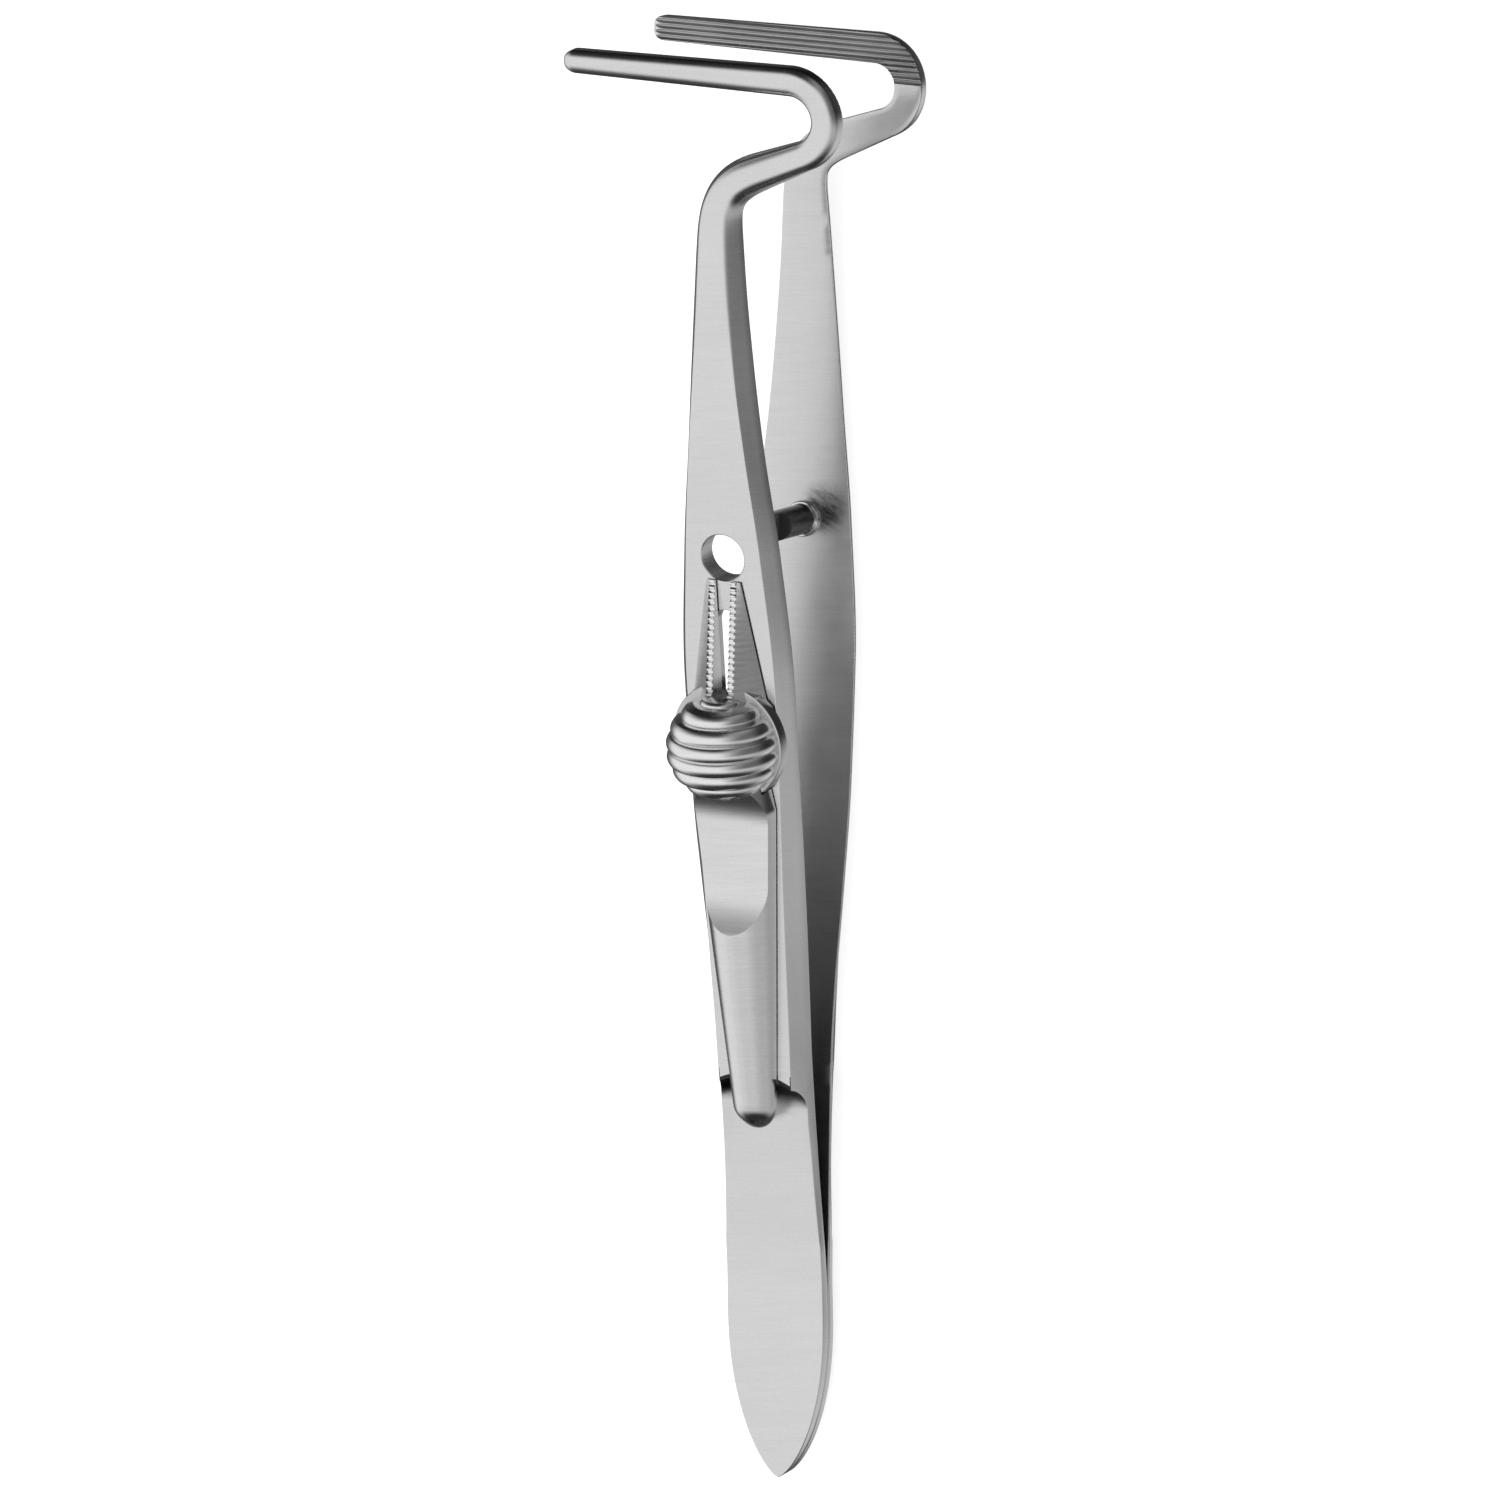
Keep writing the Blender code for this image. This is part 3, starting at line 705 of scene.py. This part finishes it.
def build_knob(material):
    """Ball with rounded ridges across it, parallel to each other, with sharp grooves between them."""
    rings = []
    steps = 280
    for i in range(steps + 1):
        y = KNOB_CENTRE - (KNOB_HALF_LENGTH - 0.02) * math.cos(math.pi * i / steps)
        offset = y - KNOB_CENTRE
        ridge = (math.floor(offset / RIDGE_PITCH) + 0.5) * RIDGE_PITCH
        ridge = min(max(ridge, 0.26 - KNOB_HALF_LENGTH), KNOB_HALF_LENGTH - 0.26)
        reach = KNOB_RADIUS * math.sqrt(max(1 - (offset / KNOB_HALF_LENGTH) ** 2, 0.003))
        level = KNOB_RADIUS * math.sqrt(1 - (ridge / KNOB_HALF_LENGTH) ** 2)
        reach = 0.45 * reach + 0.55 * min(level, reach + 0.4)
        groove = 1 - abs(math.sin(math.pi * offset / RIDGE_PITCH)) ** 0.6
        radius = reach - RIDGE_DEPTH * groove * min(reach / 2.0, 1.0)
        start = math.asin(max((DISC_TOP - KNOB_HEIGHT) / max(radius, 0.41), -1.0))
        ring = []
        for k in range(49):
            angle = start + (math.pi - 2 * start) * k / 48
            ring.append((radius * math.cos(angle), y, KNOB_HEIGHT + radius * math.sin(angle)))
        rings.append(ring)
    knob = new_object("ridged_knob", loft(rings), SLIDE)
    settle(knob, 40.0)
    wear(knob, material)
    return knob


def build_fork(material, row_material):
    """Round base with two tapering prongs, whose flat inner tops carry a row of fine cross teeth."""
    disc = turned(
        (
            (DISC_RADIUS - 0.06, 0.12),
            (DISC_RADIUS, 0.18),
            (DISC_RADIUS, DISC_TOP - 0.16),
            (DISC_RADIUS - 0.05, DISC_TOP - 0.05),
            (DISC_RADIUS - 0.16, DISC_TOP),
        ),
        (0.0, DISC_CENTRE),
        128,
    )
    fork = new_object("fork_disc", disc, SLIDE)
    web = box_between(2.6, (5.0, FORK_SLOT_END), 0.13, 1.0)
    cut(fork, new_object("web", web, SLIDE), "UNION")
    count = int((PRONG_TIP - PRONG_FOOT) / (TOOTH_PITCH / 4))
    for side in (1, -1):
        rings = []
        for i in range(count + 1):
            y = PRONG_FOOT + (PRONG_TIP - PRONG_FOOT) * i / count
            t = (y - PRONG_ROOT) / (PRONG_TIP - PRONG_ROOT)
            base = PRONG_ROOT_BASE + (PRONG_TIP_BASE - PRONG_ROOT_BASE) * t
            height = PRONG_ROOT_HEIGHT + (PRONG_TIP_HEIGHT - PRONG_ROOT_HEIGHT) * t
            tooth = min(0.20, (height - 0.12) * 0.5) * (0.0, 0.12, 1.0, 1.0)[i % 4]
            edge = height - tooth
            rings.append(
                (
                    (side * FORK_SLOT_HALF_WIDTH, y, 0.12),
                    (side * base, y, 0.12),
                    (side * (base - 0.05), y, 0.17),
                    (side * (TOOTH_ROW_EDGE + 0.10), y, height - 0.10),
                    (side * TOOTH_ROW_EDGE, y, edge),
                    (side * (FORK_SLOT_HALF_WIDTH + 0.03), y, edge),
                    (side * FORK_SLOT_HALF_WIDTH, y, edge - 0.03),
                )
            )
        cut(fork, new_object("prong", loft(rings), SLIDE), "UNION")
    gap = box_between(FORK_SLOT_HALF_WIDTH, (FORK_SLOT_END, PRONG_TIP + 1.3), -1.0, 3.0)
    cut(fork, new_object("fork_gap", gap, SLIDE))
    fork.name = "lock_fork_plate"
    settle(fork, 25.0)
    wear(fork, material, row_material)
    lie = SLIDE.inverted()
    for face in fork.data.polygons:
        across, along, height = lie @ face.center
        in_row = FORK_SLOT_HALF_WIDTH - 0.01 < abs(across) < TOOTH_ROW_EDGE + 0.02
        face.material_index = int(in_row and along > PRONG_ROOT and height > 0.16)
    return fork


def build_stud(material, collar_material):
    """Catch stud: a bright collar on the rear arm, a pin painted near black as a painted dark reflection, and
    a notch on each side for the fork.
    """
    inner = stations_at(STUD_Y)[0]
    place = TOOL @ Matrix.Translation((0.0, STUD_Y, -inner)) @ Matrix.Rotation(-STUD_TILT, 4, "X")
    profile = (
        (1.16, -0.5),
        (1.24, 0.02),
        (1.28, 0.10),
        (1.28, 0.24),
        (1.22, 0.30),
        (1.12, 0.32),
        (STUD_RADIUS, 0.38),
        (STUD_RADIUS, STUD_LENGTH - 0.20),
        (STUD_RADIUS - 0.05, STUD_LENGTH - 0.07),
        (STUD_RADIUS - 0.16, STUD_LENGTH),
    )
    stud = new_object("catch_stud_turned", turned(profile, (0.0, 0.0), 72), place)
    for side in (1, -1):
        radius = 1.3
        centre_z = NECK_NOTCH_LOW + 1.0
        centre_x = NECK_HALF_WIDTH + radius
        outline = [(3.0, NECK_NOTCH_HIGH), (NECK_HALF_WIDTH, NECK_NOTCH_HIGH)]
        for i in range(17):
            angle = math.pi + math.radians(60.0) * i / 16
            outline.append((centre_x + radius * math.cos(angle), centre_z + radius * math.sin(angle)))
        outline.append((3.0, outline[-1][1] - 0.4))
        notch = loft([[(side * x, y, z) for x, z in outline] for y in (-2.0, 2.0)])
        cut(stud, new_object("notch", notch, place))
    settle(stud)
    wear(stud, material, collar_material)
    lie = place.inverted()
    for face in stud.data.polygons:
        height = (lie @ face.center).z
        face.material_index = int(height < 0.36 or height > STUD_LENGTH - 0.19)
    return stud


def build_keeper(material):
    """Guide block in the slot, and behind the arm the plate that its two riveted tenons hold."""
    rounding = 0.08
    levels = ((BLOCK_BOTTOM - 0.2, 0), (-0.18, 0), (-0.1, -rounding))
    block = slot_body(BLOCK_START, BLOCK_END, BLOCK_HALF_WIDTH, levels)
    guide = new_object("guide_block_slider", block, SLIDE)
    settle(guide)
    wear(guide, material)
    low = KEEPER_TOP - KEEPER_THICKNESS
    levels = (
        (low, -0.1),
        (low + 0.03, -0.03),
        (low + 0.1, 0),
        (KEEPER_TOP - 0.06, 0),
        (KEEPER_TOP, -0.06),
    )
    plate = slot_body(KEEPER_START, KEEPER_END, KEEPER_HALF_WIDTH, levels)
    heads = []
    for y in (BLOCK_START + TENON_INSET, BLOCK_END - TENON_INSET):
        profile = [(0.62, KEEPER_TOP + 0.2), (0.62, low)]
        for i in range(1, 9):
            angle = math.pi / 2 * i / 8
            profile.append((max(0.62 * math.cos(angle), 0.02), low - 0.10 * math.sin(angle)))
        heads.append(turned(profile, (0.0, y), 40))
    keeper = new_object("keeper_plate_riveted", plate, SLIDE)
    for head in heads:
        cut(keeper, new_object("head", head, SLIDE), "UNION")
    settle(keeper)
    wear(keeper, material)
    return guide, keeper


# ---------------------------------------------------------------- materials


def node(tree, kind, **values):
    """A new node with these properties set."""
    made = tree.nodes.new(kind)
    for name, value in values.items():
        setattr(made, name, value)
    return made


def ranged(tree, source, low, high, at_low, at_high, kind="LINEAR"):
    """Maps the source from low..high to at_low..at_high, and holds it beyond both."""
    made = node(tree, "ShaderNodeMapRange", interpolation_type=kind)
    for name, value in zip(("From Min", "From Max", "To Min", "To Max"), (low, high, at_low, at_high)):
        made.inputs[name].default_value = value
    tree.links.new(source, made.inputs["Value"])
    return made.outputs["Result"]


def maths(tree, operation, a, b):
    made = node(tree, "ShaderNodeMath", operation=operation)
    for socket, value in zip(made.inputs, (a, b)):
        if isinstance(value, float):
            socket.default_value = value
        else:
            tree.links.new(value, socket)
    return made.outputs["Value"]


def stretched_noise(tree, coords, scale, slant, detail, roughness=0.6):
    """Noise drawn out along one axis. The scale is in features per metre along x, y and z."""
    turn = node(tree, "ShaderNodeMapping")
    turn.inputs["Rotation"].default_value = (0.0, 0.0, math.radians(slant))
    tree.links.new(coords, turn.inputs["Vector"])
    stretch = node(tree, "ShaderNodeMapping")
    stretch.inputs["Scale"].default_value = scale
    tree.links.new(turn.outputs["Vector"], stretch.inputs["Vector"])
    noise = node(tree, "ShaderNodeTexNoise")
    noise.inputs["Scale"].default_value = 1.0
    noise.inputs["Detail"].default_value = detail
    noise.inputs["Roughness"].default_value = roughness
    tree.links.new(stretch.outputs["Vector"], noise.inputs["Vector"])
    return noise.outputs["Fac"]


def steel(name, tone, roughness, grain=0.35, direction=(350.0, 6500.0, 900.0), painted_shade_ramp=None, smudge=None):
    """Stainless steel: a fine directional grain, faint blotches and a speckle.

    The shade ramp argument is (y, tone there, y, tone there), in metres: painted shade, which darkens the
    colour along y on faces where shade falls.
    smudge is the centre of a patch of dark scale, where a part was brazed in.
    """
    material = bpy.data.materials.new(name)
    material.use_nodes = True
    tree = material.node_tree
    shader = tree.nodes["Principled BSDF"]
    shader.inputs["Metallic"].default_value = 1.0
    coords = node(tree, "ShaderNodeTexCoord").outputs["Object"]
    lines = stretched_noise(tree, coords, direction, -6.0, 4.0)
    broad = stretched_noise(tree, coords, tuple(c * 0.22 for c in direction), -11.0, 2.0)
    cloud = stretched_noise(tree, coords, (230.0, 170.0, 230.0), 0.0, 4.0)
    speckle = stretched_noise(tree, coords, (9000.0, 9000.0, 9000.0), 0.0, 1.0)

    shade = ranged(tree, lines, 0.25, 0.75, 1 - 0.16 * grain, 1 + 0.16 * grain)
    for source, swing in ((broad, 0.07 * grain), (cloud, 0.03), (speckle, 0.035)):
        shade = maths(tree, "MULTIPLY", shade, ranged(tree, source, 0.25, 0.75, 1 - swing, 1 + swing))
    # Painted shade: the colour is multiplied by a smooth ramp along y.
    if painted_shade_ramp:
        parts = node(tree, "ShaderNodeSeparateXYZ")
        tree.links.new(coords, parts.inputs["Vector"])
        low, low_tone, high, high_tone = painted_shade_ramp
        fade = ranged(tree, parts.outputs["Y"], low, high, low_tone / tone, high_tone / tone, "SMOOTHSTEP")
        shade = maths(tree, "MULTIPLY", shade, fade)
    if smudge:
        reach = node(tree, "ShaderNodeVectorMath", operation="DISTANCE")
        tree.links.new(coords, reach.inputs[0])
        reach.inputs[1].default_value = smudge
        patch = ranged(tree, reach.outputs["Value"], 0.0004, 0.0023, 0.85, 0.0, "SMOOTHSTEP")
        streaks = stretched_noise(tree, coords, (700.0, 2200.0, 700.0), 25.0, 4.0)
        streaks = ranged(tree, streaks, 0.36, 0.60, 0.1, 1.0)
        kept = maths(tree, "SUBTRACT", 1.0, maths(tree, "MULTIPLY", patch, streaks))
        shade = maths(tree, "MULTIPLY", shade, kept)
    colour = node(tree, "ShaderNodeMix", data_type="RGBA", blend_type="MULTIPLY")
    colour.inputs["Factor"].default_value = 1.0
    colour.inputs[6].default_value = (tone, tone, tone, 1.0)
    tree.links.new(shade, colour.inputs[7])
    tree.links.new(colour.outputs[2], shader.inputs["Base Color"])

    rough = ranged(tree, cloud, 0.25, 0.75, roughness * 0.85, roughness * 1.15)
    rough = maths(tree, "ADD", rough, ranged(tree, lines, 0.25, 0.75, -0.02, 0.02))
    tree.links.new(rough, shader.inputs["Roughness"])
    bump = node(tree, "ShaderNodeBump")
    bump.inputs["Strength"].default_value = min(grain, 1.0)
    bump.inputs["Distance"].default_value = 0.000006
    tree.links.new(lines, bump.inputs["Height"])
    tree.links.new(bump.outputs["Normal"], shader.inputs["Normal"])
    return material


# ---------------------------------------------------------------- studio


def build_world():
    """A light tent: bright above, black beyond the jaws, the tail and under the table, dim on the right."""
    world = bpy.data.worlds.new("light_tent")
    bpy.context.scene.world = world
    world.use_nodes = True
    tree = world.node_tree
    background = tree.nodes["Background"]
    coords = node(tree, "ShaderNodeTexCoord")
    parts = node(tree, "ShaderNodeSeparateXYZ")
    tree.links.new(coords.outputs["Generated"], parts.inputs["Vector"])

    x, y, z = (parts.outputs[axis] for axis in "XYZ")
    jaw_dark = ranged(tree, y, 0.22, 0.72, 0.0, 0.98, "SMOOTHSTEP")
    jaw_side = ranged(tree, x, 0.10, 0.70, 1.0, 0.40, "SMOOTHSTEP")
    jaw_end = maths(tree, "SUBTRACT", 1.0, maths(tree, "MULTIPLY", jaw_dark, jaw_side))
    tail_end = ranged(tree, y, -0.90, -0.50, 0.03, 1.0, "SMOOTHSTEP")
    right_wall = ranged(tree, x, 0.25, 0.92, 0.0, 1.0, "SMOOTHSTEP")
    right_dim = ranged(tree, y, -0.34, -0.10, 0.40, 0.84, "SMOOTHSTEP")
    right = maths(tree, "SUBTRACT", 1.0, maths(tree, "MULTIPLY", right_wall, right_dim))
    table_dark = ranged(tree, z, -0.45, 0.02, 0.90, 0.0, "SMOOTHSTEP")
    table_lit = maths(
        tree,
        "MULTIPLY",
        ranged(tree, x, -0.10, 0.12, 0.0, 0.75, "SMOOTHSTEP"),
        ranged(tree, y, -0.14, 0.02, 1.0, 0.0, "SMOOTHSTEP"),
    )
    table_dark = maths(tree, "MULTIPLY", table_dark, maths(tree, "SUBTRACT", 1.0, table_lit))
    below = maths(tree, "SUBTRACT", 1.0, table_dark)
    ends = maths(tree, "MULTIPLY", jaw_end, tail_end)
    glow = maths(tree, "MULTIPLY", ends, maths(tree, "MULTIPLY", right, below))
    level = maths(tree, "MULTIPLY", glow, 0.86)
    path = node(tree, "ShaderNodeLightPath")
    shown = maths(tree, "MAXIMUM", level, path.outputs["Is Camera Ray"])
    tree.links.new(shown, background.inputs["Strength"])
    background.inputs["Color"].default_value = (1.0, 1.0, 1.0, 1.0)


def build_floor():
    """Pale paper, softly lit from within, so that it stays white around the tool."""
    bm = bmesh.new()
    bmesh.ops.create_grid(bm, x_segments=24, y_segments=24, size=3.0)
    floor = new_object("pale_floor", bm, Matrix.Identity(4))
    material = bpy.data.materials.new("pale_paper")
    material.use_nodes = True
    tree = material.node_tree
    shader = tree.nodes["Principled BSDF"]
    coords = node(tree, "ShaderNodeTexCoord")
    fibre = node(tree, "ShaderNodeTexNoise")
    fibre.inputs["Scale"].default_value = 900.0
    tree.links.new(coords.outputs["Object"], fibre.inputs["Vector"])
    tone = ranged(tree, fibre.outputs["Fac"], 0.0, 1.0, 0.88, 0.92)
    tree.links.new(tone, shader.inputs["Base Color"])
    shader.inputs["Roughness"].default_value = 0.9
    shader.inputs["Specular IOR Level"].default_value = 0.0
    shader.inputs["Emission Color"].default_value = (1.0, 1.0, 1.0, 1.0)
    shader.inputs["Emission Strength"].default_value = 0.75
    floor.data.materials.append(material)
    floor.visible_glossy = False


def build_light():
    """One large soft box, high on the left and towards the tail."""
    lamp = bpy.data.lights.new("soft_box", "AREA")
    lamp.shape = "RECTANGLE"
    lamp.size = 0.9
    lamp.size_y = 0.9
    lamp.energy = 2.0
    box = bpy.data.objects.new("soft_box", lamp)
    place = Vector((-0.7, -0.55, 1.15))
    box.matrix_world = Matrix.Translation(place) @ place.to_track_quat("Z", "Y").to_matrix().to_4x4()
    box.visible_glossy = False
    bpy.context.scene.collection.objects.link(box)


def build_camera():
    """A long lens from above, turned to the right of the arms and a little towards the jaws."""
    azimuth, elevation, roll = math.radians(28.8), math.radians(14.8), math.radians(0.92)
    distance = 0.9
    frame_width = 0.105634
    towards = Vector(
        (
            math.sin(azimuth) * math.cos(elevation),
            math.sin(elevation),
            math.cos(azimuth) * math.cos(elevation),
        )
    )
    right = Vector((math.cos(azimuth), 0.0, -math.sin(azimuth)))
    down = -towards.cross(right)
    turned_right = right * math.cos(roll) + down * math.sin(roll)
    turned_down = down * math.cos(roll) - right * math.sin(roll)
    lie = Matrix.Rotation(REST_TILT, 3, "X")
    columns = [lie @ turned_right, lie @ -turned_down, lie @ towards]
    placed = Matrix(columns).transposed().to_4x4()
    target = TOOL @ Vector((0.45, 53.8, 4.0))
    placed.translation = target + columns[2] * distance
    camera = bpy.data.cameras.new("camera")
    camera.sensor_width = 36.0
    camera.lens = camera.sensor_width * distance / frame_width
    camera.clip_start = 0.01
    camera.clip_end = 10.0
    holder = bpy.data.objects.new("camera", camera)
    holder.matrix_world = placed
    bpy.context.scene.collection.objects.link(holder)
    bpy.context.scene.camera = holder


# ---------------------------------------------------------------- assembly

satin = steel("satin_arm_steel", 0.76, 0.27, 0.22)
braze = TOOL @ Vector((1.6, STUD_Y + 0.9, -stations_at(STUD_Y)[0]))
# Painted shade: the inside steel's colour darkens towards the tail, where the arms shade each other; the
# rougher finish and the braze smudge are the steel's own.
inside = steel("inner_face_steel", 0.76, 0.32, 0.3, painted_shade_ramp=(-0.030, 0.40, 0.012, 0.76), smudge=braze)
# Painted shade: the step wall's colour fades to near black up the wall, standing in for the shadow in the
# scooped step.
scale = steel("step_wall_steel", 0.76, 0.30, painted_shade_ramp=(-0.0248, 0.76, -0.0235, 0.04))
polished = steel("polished_slide_steel", 0.78, 0.21, 0.3)
ground = steel("ground_fork_steel", 0.60, 0.28, 0.6)
# Partly painted light: the bore's rougher finish is real, its lighter tone stands in for light on the hole
# wall.
bore = steel("reamed_hole_steel_painted_light", 0.95, 0.48, 0.3)
ridged = steel("ridged_knob_steel", 0.88, 0.24, 0.3)
toothed = steel("toothed_row_steel", 0.92, 0.24, 0.2)
# Painted reflection: the pin's colour is near black, standing in for the dark surroundings that it reflects.
stud_painted_dark = steel("stud_steel_painted_dark", 0.07, 0.20, 0.3, (900.0, 900.0, 6000.0))
collar = steel("polished_collar_steel", 0.85, 0.15, 0.2)

front = build_arm("front_arm_forging", 1, satin, inside, scale, bore)
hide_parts("front_arm", "front_tail_blade")
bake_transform(front)

rear = build_arm("rear_arm_forging", -1, satin, inside, scale)
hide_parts("rear_arm", "rear_tail_blade")
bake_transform(rear)

stud = build_stud(stud_painted_dark, collar)
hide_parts("catch_stud")
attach(stud, "rear_arm_body")

fork = build_fork(ground, toothed)
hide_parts("lock_fork")
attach(fork, "lock_slide")

tongue = build_tongue(polished)
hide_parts("thumb_slide")
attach(tongue, "lock_slide")

knob = build_knob(ridged)
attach(knob, "lock_slide")

guide, keeper = build_keeper(ground)
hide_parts("guide_block")
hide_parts("keeper_plate")
for piece in (guide, keeper):
    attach(piece, "lock_slide")

bpy.context.scene.view_settings.view_transform = "Standard"
build_world()
build_floor()
build_light()
build_camera()
